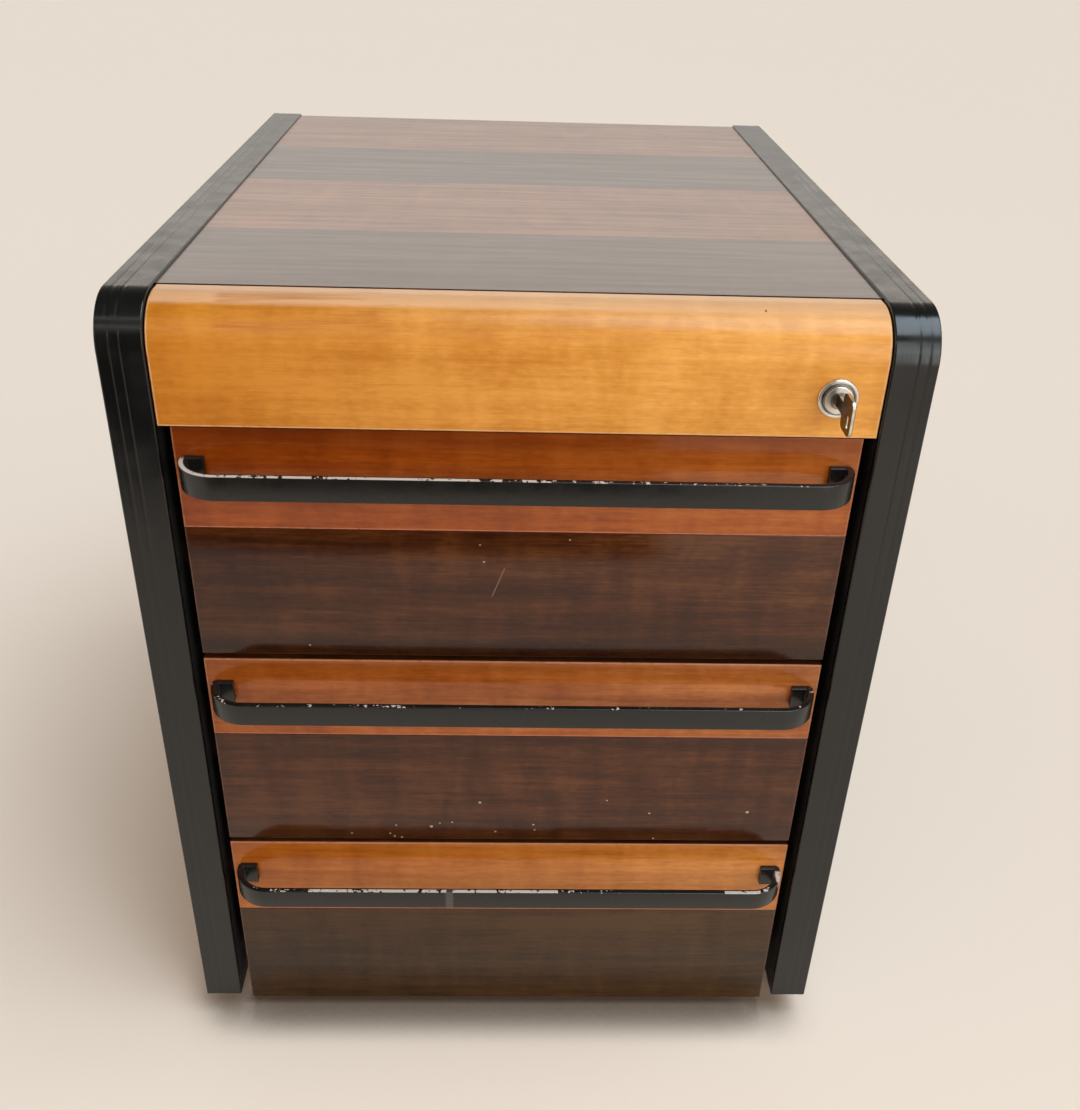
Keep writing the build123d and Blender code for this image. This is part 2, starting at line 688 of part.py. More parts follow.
def veneer(drawer, zs, outer_z):
    """A strip of veneer on a drawer front, its outer edges eased."""
    ys = (DRAWER_RECESS, DRAWER_RECESS + VENEER_T)
    strip = block((-DRAWER_HALF, DRAWER_HALF), ys, zs)
    eased = [e for e in strip.edges() if veneer_arris(e, outer_z)]
    strip = fillet(eased, ARRIS_R)
    return strip - [stud(place, FIT) for place in stud_places(drawer)]


def veneer_arris(edge, outer_z):
    """Whether an edge is at the front of a veneer, and on the outside of the drawer."""
    middle = edge.position_at(0.5)
    front = abs(middle.Y - DRAWER_RECESS) < FIT
    outside = abs(middle.X) > DRAWER_HALF - FIT or abs(middle.Z - outer_z) < FIT
    return front and outside


def front_board(drawer):
    """The board of a drawer front, grooved for the drawer's bottom."""
    ys = (DRAWER_RECESS + VENEER_T, FRONT_BACK)
    board = block((-DRAWER_HALF, DRAWER_HALF), ys, (drawer["bottom"], drawer["top"]))
    return board - bottom_groove(drawer) - [stud(place, FIT) for place in stud_places(drawer)]


def bottom_zs(drawer):
    """The heights of a drawer's bottom panel."""
    low = drawer["box"] + BOTTOM_RISE
    return low, low + BOTTOM_T


def bottom_groove(drawer):
    """The space that the bottom panel takes in the front board and the sides."""
    low, high = bottom_zs(drawer)
    half = BOX_IN + BOTTOM_GROOVE
    return block((-half, half), (FRONT_BACK - BOTTOM_GROOVE, BOX_END + 1), (low - FIT, high + FIT))


def box_side(drawer, side):
    """A drawer side with the runner groove outside and the bottom's groove inside."""
    side_board = block((side * BOX_IN, side * BOX_OUT), (FRONT_BACK, BOX_END),
                       (drawer["box"], drawer["box_top"]))
    top_edges = side_board.edges().filter_by(Axis.Y).sort_by(Axis.Z)[-2:]
    side_board = fillet(top_edges, ARRIS_R)
    low = drawer["box"] + RAIL_UP - SLIDE_GAP
    groove = block((side * (BOX_OUT - RAIL_BITE - SLIDE_GAP), side * (BOX_OUT + 1)),
                   (FRONT_BACK + GROOVE_FRONT, BOX_END + 1),
                   (low, drawer["box"] + RAIL_UP + RAIL_H + SEAT))
    return side_board - groove - bottom_groove(drawer)


def box_back(drawer):
    """A drawer back, standing on the bottom panel between the sides."""
    zs = (bottom_zs(drawer)[1], drawer["box_top"] - BACK_DROP)
    board = block((-BOX_IN, BOX_IN), (BOX_END - BOX_T, BOX_END), zs)
    return fillet(board.edges().filter_by(Axis.X).sort_by(Axis.Z)[-2:], ARRIS_R)


def box_bottom(drawer):
    """A drawer bottom, held in the grooves of the front and the sides."""
    half = BOX_IN + BOTTOM_GROOVE - FIT
    return block((-half, half), (FRONT_BACK - BOTTOM_GROOVE + FIT, BOX_END), bottom_zs(drawer))


def castor_places():
    """Name and swivel centre of each castor."""
    for end, y in (("front", CASTOR_FRONT), ("back", DEPTH - CASTOR_BACK)):
        for side, word in ((-1, "left"), (1, "right")):
            yield f"{end}_{word}", side * (INNER - CASTOR_SIDE), y


def castor_screws():
    """Head places of the castor plates' screws."""
    z = BASE_Z - PLATE_T
    return [(x + i * PLATE_HOLE, y + j * PLATE_HOLE, z)
            for _, x, y in castor_places() for i in (-1, 1) for j in (-1, 1)]


def castor_plate(x, y):
    """A square plate under the base, with a cup for the castor's stem."""
    half = PLATE_W / 2
    plate = block((x - half, x + half), (y - half, y + half), (BASE_Z - PLATE_T, BASE_Z))
    plate = fillet(plate.edges().filter_by(Axis.Z), PLATE_T)
    cup = rod((x, y, BASE_Z - PLATE_T - CUP_H), (0, 0, 1), CUP_R, CUP_H + PLATE_T)
    bore = rod((x, y, BASE_Z - PLATE_T - CUP_H - 1), (0, 0, 1), STEM_R + RUNNING, CUP_H + 1)
    corners = [(x + i * PLATE_HOLE, y + j * PLATE_HOLE) for i in (-1, 1) for j in (-1, 1)]
    holes = [screw_hole((a, b, BASE_Z - PLATE_T), (0, 0, 1)) for a, b in corners]
    return plate + cup - bore - holes


def axle_place(y):
    """Centre of a castor's axle, behind its swivel centre."""
    return y + CASTOR_TRAIL, WHEEL_R - FLOOR_GAP


def castor_hood(x, y):
    """A castor's stem, boss, middle web and the curved cover over its two wheels."""
    ay, az = axle_place(y)
    half = CASTOR_WEB_T / 2 + WHEEL_GAP + WHEEL_T
    inner = WHEEL_R + WHEEL_GAP
    cover = rod((x - half, ay, az), (1, 0, 0), inner + HOOD_T, 2 * half)
    cover = cover - rod((x - half - 1, ay, az), (1, 0, 0), inner, 2 * half + 2)
    low = az + inner * math.cos(math.radians(HOOD_SPAN / 2))
    above = block((x - half, x + half), (ay - 2 * WHEEL_R, ay + 2 * WHEEL_R), (low, az + 2 * WHEEL_R))
    cover = cover & above
    web = rod((x - CASTOR_WEB_T / 2, ay, az), (1, 0, 0), inner + HOOD_T / 2, CASTOR_WEB_T)
    web = web & block((x - half, x + half), (ay - 2 * WHEEL_R, ay + 2 * WHEEL_R),
                      (az - AXLE_R - HOOD_T, az + 2 * WHEEL_R))
    cup_low = BASE_Z - PLATE_T - CUP_H
    boss = rod((x, y, az), (0, 0, 1), HOOD_BOSS_R, cup_low - CUP_GAP - az)
    stem = rod((x, y, az), (0, 0, 1), STEM_R, BASE_Z - PLATE_T - CUP_GAP - az)
    hood = joined(web, cover, boss, stem)
    for side in (-1, 1):
        start = x + side * CASTOR_WEB_T / 2
        room = rod((start, ay, az), (side, 0, 0), inner, half + 1)
        hood = hood - room
    return hood - rod((x - half, ay, az), (1, 0, 0), AXLE_R + RUNNING, 2 * half)


def castor_wheel(x, y, side):
    """One wheel of a twin castor, its outer face dished."""
    ay, az = axle_place(y)
    start = x + side * (CASTOR_WEB_T / 2 + WHEEL_GAP)
    wheel = rod((start, ay, az), (side, 0, 0), WHEEL_R, WHEEL_T)
    wheel = fillet(wheel.edges(), WHEEL_ARRIS)
    dish = rod((start + side * WHEEL_T, ay, az), (-side, 0, 0), WHEEL_R - 3 * WHEEL_ARRIS, WHEEL_DISH)
    axle_hole = rod((start - side, ay, az), (side, 0, 0), AXLE_R + RUNNING, WHEEL_T + 2)
    return wheel - dish - axle_hole


def castor_axle(x, y):
    """The axle that both wheels of a castor are pressed on."""
    ay, az = axle_place(y)
    half = CASTOR_WEB_T / 2 + WHEEL_GAP + WHEEL_T - WHEEL_DISH
    return rod((x - half, ay, az), (1, 0, 0), AXLE_R, 2 * half)


def save_carcass():
    """Side panels, trims, top, base, back and what is fixed inside them."""
    stripes = top_stripes()
    sides = ((-1, "left"), (1, "right"))
    for side, word in sides:
        save(f"{word}_side_panel", side_panel(side))
        save(f"{word}_edge_trim", edge_trim(side))
        save(f"{word}_runners", *[rail(drawer, side) for drawer in drawer_stack()])
    save("top_panel", top_panel())
    save("top_dark_veneer", stripes[0], stripes[2])
    save("top_light_veneer", stripes[1], stripes[3])
    save("base_panel", base_panel())
    save("back_panel", back_panel())
    dowels = [rod((x, y, z), (side, 0, 0), DOWEL_R, DOWEL_L) for x, y, z, side in carcass_dowels()]
    save("carcass_dowels", *dowels)
    save("back_screws", *[wood_screw(p, (0, -1, 0), BACK_SCREW_L) for p in back_screws()])
    rail_heads = [(p, side) for drawer in drawer_stack() for side in (-1, 1)
                  for p in rail_screws(drawer, side)]
    save("runner_screws", *[wood_screw(p, (side, 0, 0)) for p, side in rail_heads])
    save("tray_hangers", tray_hanger(-1), tray_hanger(1))
    save("lock_strike", lock_strike())
    save("hanger_screws", *[wood_screw(p, (0, 0, 1)) for p in under_top_screws()])


def save_pencil_drawer():
    """The pencil drawer with its lock and key."""
    save("pencil_drawer_front", pencil_front())
    save("pencil_tray", pencil_tray())
    save("tray_screws", *[wood_screw(p, (0, -1, 0)) for p in tray_screws()])
    save("lock_body", lock_body())
    save("lock_nut", lock_nut())
    save("lock_core", lock_core())
    save("lock_cam", lock_cam())
    save("lock_cam_screw", cam_screw())
    save("key", key())


def save_drawer(drawer):
    """One drawer: front board, two veneers, handle with its screws, and the box."""
    name = drawer["name"]
    save(f"{name}_front", front_board(drawer))
    save(f"{name}_light_veneer", veneer(drawer, (drawer["band"], drawer["top"]), drawer["top"]))
    save(f"{name}_dark_veneer", veneer(drawer, (drawer["bottom"], drawer["band"]), drawer["bottom"]))
    save(f"{name}_handle", handle(drawer))
    save(f"{name}_handle_screws", *[stud(place) for place in stud_places(drawer)])
    save(f"{name}_sides", box_side(drawer, -1), box_side(drawer, 1))
    save(f"{name}_back", box_back(drawer))
    save(f"{name}_bottom", box_bottom(drawer))


def save_castors():
    """Four twin wheel castors on plates under the base."""
    save("castor_plates", *[castor_plate(x, y) for _, x, y in castor_places()])
    save("castor_screws", *[wood_screw(p, (0, 0, 1)) for p in castor_screws()])
    for name, x, y in castor_places():
        wheels = [castor_wheel(x, y, side) for side in (-1, 1)]
        save(f"{name}_castor_hood", castor_hood(x, y))
        save(f"{name}_castor_wheels", *wheels, castor_axle(x, y))


os.makedirs("parts", exist_ok=True)
save_carcass()
save_pencil_drawer()
for drawer in drawer_stack():
    save_drawer(drawer)
save_castors()
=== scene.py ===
import math

import bmesh
import bpy
import numpy as np
from mathutils import Matrix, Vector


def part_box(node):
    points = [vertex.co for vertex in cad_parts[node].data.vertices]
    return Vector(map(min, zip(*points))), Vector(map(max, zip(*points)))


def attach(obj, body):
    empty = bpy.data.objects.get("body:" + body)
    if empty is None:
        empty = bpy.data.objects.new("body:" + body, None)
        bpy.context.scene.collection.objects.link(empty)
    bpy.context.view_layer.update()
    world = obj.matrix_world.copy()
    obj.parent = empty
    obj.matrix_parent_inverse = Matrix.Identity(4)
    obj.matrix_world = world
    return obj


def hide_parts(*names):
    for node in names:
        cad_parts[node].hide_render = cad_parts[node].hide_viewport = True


# Drawer pedestal, dressed over its CAD frame: grooved trims, bent bar handles, veneers, lock and key,
# with lacquer, plastic, enamel and metal finishes. Metres, in the frame's own axes.

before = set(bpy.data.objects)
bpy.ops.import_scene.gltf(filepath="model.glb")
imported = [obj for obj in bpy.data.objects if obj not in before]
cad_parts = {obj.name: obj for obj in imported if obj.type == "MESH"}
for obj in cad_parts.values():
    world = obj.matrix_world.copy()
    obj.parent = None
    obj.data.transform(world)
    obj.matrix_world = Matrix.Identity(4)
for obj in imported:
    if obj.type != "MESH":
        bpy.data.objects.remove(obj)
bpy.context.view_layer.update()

MM = 0.001
UP = np.array([0.0, 0.0, 1.0])
DRAWERS = ("upper_drawer", "middle_drawer", "lower_drawer")

# Sizes of the new surfaces in mm. Trims and bars have the part's main sizes; the grooves are a little
# wider and shallower than the part's, and the fine reeding is only here.
TRIM_WIDE, TRIM_THICK, TRIM_ARRIS, CORNER_RADIUS = 25.5, 3.5, 1.0, 28.0
TONGUE_THICK, TONGUE_DEEP = 3.0, 8.0
GROOVE_PLACES, GROOVE_HALF, GROOVE_DEEP = (13.25, 19.05), 1.9, 0.14
REED_PITCH, REED_DEEP = 2.4, 0.012
BAR_THICK, BAR_EASE, BAR_FOOT, BAR_HEEL, HEEL_INSIDE, BAR_BEND = 4.0, 0.6, 13.0, 3.0, 0.5, 23.0
VENEER_EASE = 0.45


def corners(node):
    """A node's lowest and highest corner as arrays."""
    low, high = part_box(node)
    return np.array(low), np.array(high)


# Finishes

class Finish:
    """A material being made: its shader, and short ways to add nodes to it."""

    def __init__(self, name, **sockets):
        self.material = bpy.data.materials.new(name)
        self.material.use_nodes = True
        self.tree = self.material.node_tree
        self.shader = self.tree.nodes["Principled BSDF"]
        self.place = self.node("ShaderNodeTexCoord").outputs["Object"]
        self.x, self.y, self.z = self.node("ShaderNodeSeparateXYZ", {0: self.place}).outputs
        for socket, value in sockets.items():
            self.set(socket.replace("_", " "), value)

    def set(self, socket, value):
        """Gives the shader's socket a plain value or a node's output."""
        self.fill(self.shader.inputs[socket], value)

    def fill(self, socket, value):
        """Links a node's output to a socket, or writes a plain value there."""
        if isinstance(value, bpy.types.NodeSocket):
            self.tree.links.new(value, socket)
        else:
            socket.default_value = value

    def node(self, kind, values=None, **settings):
        """A node with its settings, its inputs filled by name or number."""
        made = self.tree.nodes.new(kind)
        for setting, value in settings.items():
            setattr(made, setting, value)
        for socket, value in (values or {}).items():
            self.fill(made.inputs[socket], value)
        return made

    def math(self, operation, first, second=0.0, third=0.0):
        """The output of a math node."""
        values = {0: first, 1: second, 2: third}
        return self.node("ShaderNodeMath", values, operation=operation).outputs[0]

    def product(self, first, *others):
        """All values multiplied."""
        for other in others:
            first = self.math("MULTIPLY", first, other)
        return first

    def most(self, first, *others):
        """The largest of the values."""
        for other in others:
            first = self.math("MAXIMUM", first, other)
        return first

    def length(self, first, second):
        """The root of the two values' squares added."""
        squares = self.math("ADD", self.product(first, first), self.product(second, second))
        return self.math("SQRT", squares)

    def noise(self, scale, offset=(0, 0, 0), detail=2.0, rough=0.5, bend=0.0):
        """Soft noise from 0 to 1, its repeats a metre along x, y and z given by scale."""
        place = self.node("ShaderNodeMapping", {"Vector": self.place, "Scale": scale, "Location": offset})
        values = {"Vector": place.outputs[0], "Scale": 1.0, "Detail": detail, "Roughness": rough,
                  "Distortion": bend}
        return self.node("ShaderNodeTexNoise", values).outputs["Fac"]

    def band(self, value, low, high, start=0.0, end=1.0):
        """Smooth step of a value between low and high, from start to end."""
        values = {"Value": value, "From Min": low, "From Max": high, "To Min": start, "To Max": end}
        return self.node("ShaderNodeMapRange", values, interpolation_type="SMOOTHSTEP").outputs[0]

    def near(self, value, centre, half, soft):
        """1 where a value lies within half of centre, falling to 0 over soft."""
        away = self.math("ABSOLUTE", self.math("SUBTRACT", value, centre))
        return self.band(away, half + soft, half)

    def blend(self, gain, *parts):
        """Noises added by weight, spread about one half by a gain."""
        total = 0.5 - gain * sum(weight for _, weight in parts) / 2
        for part, weight in parts:
            total = self.math("MULTIPLY_ADD", part, gain * weight, total)
        return total

    def ramp(self, value, *stops):
        """A colour for a value, between stops of place and colour."""
        made = self.node("ShaderNodeValToRGB", {0: value})
        return fill_ramp(made, stops).outputs[0]

    def mix(self, share, first, second):
        """Two colours mixed by a share; a plain colour is three numbers."""
        first, second = ((*value, 1) if isinstance(value, tuple) else value for value in (first, second))
        return self.node("ShaderNodeMix", {0: share, 6: first, 7: second}, data_type="RGBA").outputs[2]

    def bump(self, height, depth):
        """A normal raised by a height from 0 to 1, of that depth in metres."""
        values = {"Height": height, "Distance": depth, "Strength": 1.0}
        return self.node("ShaderNodeBump", values).outputs[0]


def fill_ramp(ramp, stops):
    """Gives a colour ramp its stops of place and colour."""
    elements = ramp.color_ramp.elements
    while len(elements) < len(stops):
        elements.new(1.0)
    for element, (place, colour) in zip(elements, stops):
        element.position, element.color = place, (*colour, 1)
    return ramp


def shaded(colour, factor):
    """A colour times a factor."""
    return tuple(min(1.0, value * factor) for value in colour)


class Veneer(Finish):
    """Lacquered wood with its grain along x, or along y. The tone adds slow bands, streaks, fine
    lines, short flecks and soft cross figure, each a noise stretched along the grain; pores are the
    peaks of the finest one."""

    def __init__(self, name, tones, offset, gain, lines, gloss, streaks=0.8, grain="x", **sockets):
        super().__init__(name, **sockets)
        dark, middle, light = tones
        self.grain, self.offset = grain, offset
        self.slow = self.stretched(2.2, 15, 2, 0.5, 0.3)
        self.streaks = self.stretched(8, 150, 3, 0.6, 0.2)
        self.lines = self.stretched(30, 900, 2, 0.6)
        self.flecks = self.stretched(150, 380, 2, 0.6)
        self.cross = self.stretched(55, 18, 2, 0.5, 0.4)
        self.tone = self.blend(gain, (self.slow, 0.8), (self.streaks, streaks), (self.lines, lines),
                               (self.flecks, 0.35), (self.cross, 0.55))
        self.colour = self.ramp(self.tone, (0.05, dark), (0.5, middle), (0.95, light))
        self.pores = self.band(self.stretched(50, 1500, 1, 0.5), 0.6, 0.76)
        self.gloss = gloss

    def stretched(self, along, across, *shape):
        """Noise with its repeats a metre along the grain and across it."""
        scale = (along, across, across) if self.grain == "x" else (across, along, across)
        return self.noise(scale, self.offset, *shape)

    def paint(self, share, colour):
        """Lays a colour over the veneer where share says."""
        self.colour = self.mix(share, self.colour, colour)

    def edges(self, low, high, colour, share=0.6, wide=0.0011, top=False, bottom=False):
        """Pale lines along a front's sides, and its top or bottom: partly rubbed wear and partly a
        painted highlight where the eased edges catch the light.
        """
        sides = [(self.x, low[0], 1), (self.x, high[0], -1)]
        sides += [(self.z, high[2], -1)] if top else []
        sides += [(self.z, low[2], 1)] if bottom else []
        lines = self.most(*(self.band(value, edge + turn * wide, edge + turn * wide / 2)
                            for value, edge, turn in sides))
        ragged = self.noise((220, 220, 220), (4, 5, 6), 2)
        self.paint(self.product(lines, self.band(ragged, 0.3, 0.55, share * 0.5, share)), colour)

    def fade(self, left, right, half=0.2):
        """Paints a light gradient: multiplies red, green and blue by factors that go evenly from the left
        to the right end, so that a front is brighter towards the right, where the light falls stronger.
        """
        values = {"Value": self.x, "From Min": -half, "From Max": half}
        share = self.node("ShaderNodeMapRange", values).outputs[0]
        values = {0: 1.0, 6: self.colour, 7: self.mix(share, left, right)}
        multiplied = self.node("ShaderNodeMix", values, data_type="RGBA", blend_type="MULTIPLY")
        self.colour = multiplied.outputs[2]

    def spot(self, x, z, half_x, half_z, soft=0.5 * MM):
        """1 inside a small soft rectangle of the front."""
        return self.product(self.near(self.x, x, half_x, soft), self.near(self.z, z, half_z, soft))

    def finish(self, pore_colour, pore_share, relief=0.000025):
        """Lays the pores over the colour and sets colour, roughness and fine relief."""
        self.paint(self.math("MULTIPLY", self.pores, pore_share), pore_colour)
        self.set("Base Color", self.colour)
        self.set("Roughness", self.band(self.streaks, 0.3, 0.7, self.gloss + 0.04, self.gloss - 0.02))
        height = self.math("SUBTRACT", self.math("MULTIPLY", self.lines, 0.35), self.pores)
        self.set("Normal", self.bump(height, relief))
        return self


FRONT_GLOSS = {"Specular_IOR_Level": 0.02, "Coat_Weight": 0.78, "Coat_Roughness": 0.12, "Coat_IOR": 1.5}
HONEY_GLOSS = {**FRONT_GLOSS, "Coat_Roughness": 0.26}
TOP_GLOSS = {"Specular_IOR_Level": 0.5, "Coat_Weight": 0.75, "Coat_Roughness": 0.2, "Coat_IOR": 1.5}


def honey_veneer():
    """The pencil drawer's veneer: golden brown at the left and paler to the right as painted light, with
    a painted sky reflection along the top of its curve, pale edges that are partly rubbed and partly a
    painted highlight, a darker grain cluster at the upper left and a dark tick."""
    low, high = corners("pencil_drawer_front")
    tones = ((0.46, 0.155, 0.010), (0.60, 0.232, 0.022), (0.74, 0.325, 0.045))
    wood = Veneer("honey_veneer", tones, (0.3, 0.1, 0.7), 1.7, 0.2, 0.4, 0.45, **HONEY_GLOSS)
    # Painted light: paler towards the right, where the light falls stronger.
    wood.fade((0.72, 0.60, 0.32), (1.15, 1.33, 2.3))
    # Painted reflection: a pale strip along the top of the curve, where it mirrors the bright sky.
    painted_sky_reflection = wood.band(wood.z, high[2] - 0.0045, high[2] - 0.0022, 0.0, 0.6)
    wood.paint(painted_sky_reflection, (0.80, 0.50, 0.30))
    cluster = wood.spot(-0.12, high[2] - 0.008, 0.04, 0.004, 0.006)
    wood.paint(wood.product(cluster, wood.band(wood.streaks, 0.45, 0.62)), (0.42, 0.135, 0.016))
    tick = wood.spot(0.1311, high[2] - 0.0021, 0.0003, 0.0002, 0.0003)
    wood.paint(tick, (0.12, 0.04, 0.01))
    # Pale edges: partly rubbed wear, partly painted highlight.
    wood.edges(low, high, (0.80, 0.47, 0.24), 0.75, 0.0016, bottom=True)
    return wood.finish((0.34, 0.11, 0.015), 0.22)


# Dark, middle and light tone of each veneer.
TOP_LIGHT_TONES = ((0.13, 0.035, 0.012), (0.20, 0.062, 0.022), (0.29, 0.105, 0.04))
TOP_DARK_TONES = ((0.03, 0.011, 0.006), (0.055, 0.022, 0.012), (0.085, 0.037, 0.02))
DRAWER_BOX_TONES = ((0.48, 0.30, 0.15), (0.60, 0.42, 0.23), (0.70, 0.52, 0.31))
RUNNER_TONES = ((0.36, 0.20, 0.09), (0.48, 0.30, 0.15), (0.60, 0.40, 0.22))
# The red brown bands go paler from the upper to the lower drawer: painted light, as the lower fronts get
# more light from the floor.
LIGHT_TONES = {
    "upper_drawer": ((0.205, 0.040, 0.003), (0.288, 0.066, 0.006), (0.370, 0.098, 0.012)),
    "middle_drawer": ((0.246, 0.060, 0.0065), (0.348, 0.100, 0.016), (0.450, 0.146, 0.032)),
    "lower_drawer": ((0.340, 0.098, 0.0100), (0.465, 0.152, 0.022), (0.575, 0.212, 0.036)),
}
DARK_TONES = {
    "upper_drawer": ((0.031, 0.0070, 0.0011), (0.057, 0.0155, 0.0028), (0.092, 0.030, 0.0075)),
    "middle_drawer": ((0.033, 0.0075, 0.0011), (0.059, 0.0162, 0.0030), (0.094, 0.030, 0.0080)),
    "lower_drawer": ((0.024, 0.0095, 0.0012), (0.040, 0.0165, 0.0028), (0.058, 0.025, 0.0060)),
}


def light_band(drawer, offset):
    """The red brown band of a drawer front, brighter to the right as painted light, with painted shade
    near its top, and pale lines along its sides, top and lower edge that are partly rubbed and partly a
    painted highlight."""
    tones = LIGHT_TONES[drawer]
    pore_and_shade_tone = shaded(tones[0], 0.6)
    wood = Veneer(f"{drawer}_light_veneer", tones, offset, 1.9, 0.25, 0.38, **FRONT_GLOSS)
    # Painted light: brighter towards the right, where the light falls stronger.
    wood.fade((0.80, 0.62, 0.35), (1.18, 1.28, 1.7))
    low, high = corners(f"{drawer}_light_veneer")
    # Painted shade: darker near the top, under the front above.
    wood.paint(wood.band(wood.z, high[2] - 0.020, high[2] - 0.003, 0.0, 0.45), pore_and_shade_tone)
    # Pale edges: partly rubbed wear, partly painted highlight.
    wood.edges(low, high, (0.47, 0.20, 0.10), 0.6, 0.0013, top=drawer != "upper_drawer", bottom=True)
    return wood.finish(pore_and_shade_tone, 0.3)


# Small pale specks on the dark panels: x, height above the trim's foot and width, in mm.
SPECKS = {
    "upper_drawer": [(-127.2, 312.6, 0.7), (-19.9, 374.2, 0.7), (30.7, 390.1, 0.6), (-22.3, 385.8, 0.5)],
    "middle_drawer": [(-21.9, 184.1, 1.6), (-55.1, 162.0, 1.9), (-49.3, 165.1, 0.8), (-40.8, 166.0, 0.8),
                      (-79.2, 162.9, 0.8), (-83.5, 155.4, 0.8), (-80.5, 152.8, 0.9), (-75.6, 151.9, 0.9),
                      (-11.1, 157.6, 0.9), (14.9, 164.2, 1.1), (15.9, 159.4, 0.8), (64.4, 186.7, 0.8),
                      (94.1, 175.3, 1.1), (161.5, 177.0, 2.1), (98.6, 152.0, 0.9), (-109.8, 155.4, 0.7)],
    "lower_drawer": [],
}
# How much painted shade darkens each dark panel towards its lower edge, where the next drawer's bar below
# shades it.
FOOT_SHADE = {"upper_drawer": 0.65, "middle_drawer": 0.4, "lower_drawer": 0.0}


def dark_band(drawer, offset):
    """The dark brown panel of a drawer front, brighter to the right as painted light and darker towards
    its lower edge as painted shade, with its small pale specks and a scratch.
    """
    wood = Veneer(f"{drawer}_dark_veneer", DARK_TONES[drawer], offset, 2.0, 0.5, 0.34, **FRONT_GLOSS)
    # Painted light: brighter towards the right, where the light falls stronger.
    wood.fade((0.84, 0.80, 0.7), (1.22, 1.28, 1.5))
    low, high = corners(f"{drawer}_dark_veneer")
    # Pale edges: partly rubbed wear, partly painted highlight.
    wood.edges(low, high, (0.19, 0.105, 0.075), 0.5, 0.0012)
    joint_line = wood.band(wood.z, high[2] - 0.0014, high[2] - 0.0005, 0.0, 0.6)
    wood.paint(joint_line, (0.075, 0.012, 0.004))
    # Painted shade: darker towards the lower edge, above the next drawer's bar.
    painted_foot_shade = wood.band(wood.z, low[2] + 0.024, low[2] + 0.004, 0.0, FOOT_SHADE[drawer])
    wood.paint(painted_foot_shade, (0.008, 0.002, 0.0005))
    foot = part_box("left_edge_trim")[0][2]
    for x, z, size in SPECKS[drawer]:
        spot = wood.spot(x * MM, foot + z * MM, size * 0.35 * MM, size * 0.3 * MM)
        wood.paint(wood.math("MULTIPLY", spot, 0.8), (0.55, 0.40, 0.30))
    if drawer == "upper_drawer":
        rise = wood.math("SUBTRACT", wood.z, foot + 0.360)
        away = wood.math("MULTIPLY_ADD", rise, -0.37, wood.math("ADD", wood.x, 0.0112))
        across, along = wood.near(away, 0.0, 0.0001, 0.0005), wood.near(rise, 0.0, 0.009, 0.002)
        wood.paint(wood.product(across, along, 0.45), (0.30, 0.19, 0.13))
    return wood.finish((0.012, 0.004, 0.002), 0.5)


def top_stripe(name, tones, offset):
    """A glossy stripe of the top, with shallower pores than the fronts."""
    wood = Veneer(name, tones, offset, 1.5, 0.4, 0.34, **TOP_GLOSS)
    return wood.finish(shaded(tones[0], 0.6), 0.4, 0.000008)


def plain_wood(name, tones, offset, grain="x"):
    """Wood with hardly any lacquer."""
    wood = Veneer(name, tones, offset, 2.0, 0.4, 0.45, grain=grain, Coat_Weight=0.1)
    return wood.finish(shaded(tones[0], 0.7), 0.4)


def satin_plastic(name, colour, rough, mottle=0.006, texture=0.000012, **sockets):
    """Moulded or extruded plastic: an even colour with a faint mottle and fine texture."""
    plastic = Finish(name, **sockets)
    cloud = plastic.noise((60, 60, 60), detail=3)
    paler = tuple(value + mottle for value in colour)
    plastic.set("Base Color", plastic.mix(plastic.band(cloud, 0.3, 0.75), colour, paler))
    plastic.set("Roughness", plastic.band(cloud, 0.3, 0.7, rough - 0.03, rough + 0.05))
    plastic.set("Normal", plastic.bump(plastic.noise((2500, 2500, 2500), detail=1), texture))
    return plastic


def metal(name, colour, rough, stretch=(30, 30, 900), darkening=0.8):
    """Plated or brushed metal with fine lines and faint staining."""
    made = Finish(name, Metallic=1.0)
    lines = made.noise(stretch, detail=3, rough=0.6)
    stains = made.noise((140, 140, 140), detail=3, bend=0.5)
    made.colour = made.mix(made.band(stains, 0.4, 0.75, 0.0, 0.7), colour, shaded(colour, darkening))
    made.set("Base Color", made.colour)
    made.set("Roughness", made.band(lines, 0.3, 0.7, rough - 0.06, rough + 0.08))
    made.set("Normal", made.bump(lines, 0.000006))
    return made


def lock_nickel():
    """Nickel, darker in a ring at the groove of the lock's flange."""
    made = metal("lock_nickel", (0.78, 0.74, 0.68), 0.3, (60, 60, 60))
    low, high = corners("lock_body")
    middle = (low + high) / 2
    groove_radius = 0.00865
    away = made.length(made.math("SUBTRACT", made.x, middle[0]), made.math("SUBTRACT", made.z, middle[2]))
    # A darker ring at the groove.
    darkening = made.math("MULTIPLY", made.near(away, groove_radius, 0.0003, 0.0004), 0.85)
    made.set("Base Color", made.mix(darkening, made.colour, (0.05, 0.035, 0.025)))
    return made


def key_steel():
    """The key's plating: brown on its broad sides, partly tarnish and partly painted shade, and bright on
    its edges, which face the light.
    """
    made = metal("key_steel", (0.78, 0.70, 0.58), 0.36, (300, 300, 300), 0.6)
    low, high = corners("key")
    away = made.math("ABSOLUTE", made.math("SUBTRACT", made.x, (low[0] + high[0]) / 2))
    half = (high[0] - low[0]) / 2
    # Darker broad sides: partly tarnish, partly painted shade against the lit edges.
    tarnish_and_painted_shade = made.band(away, half - 0.00045, half - 0.00015)
    made.set("Base Color", made.mix(tarnish_and_painted_shade, made.colour, (0.13, 0.09, 0.05)))
    return made


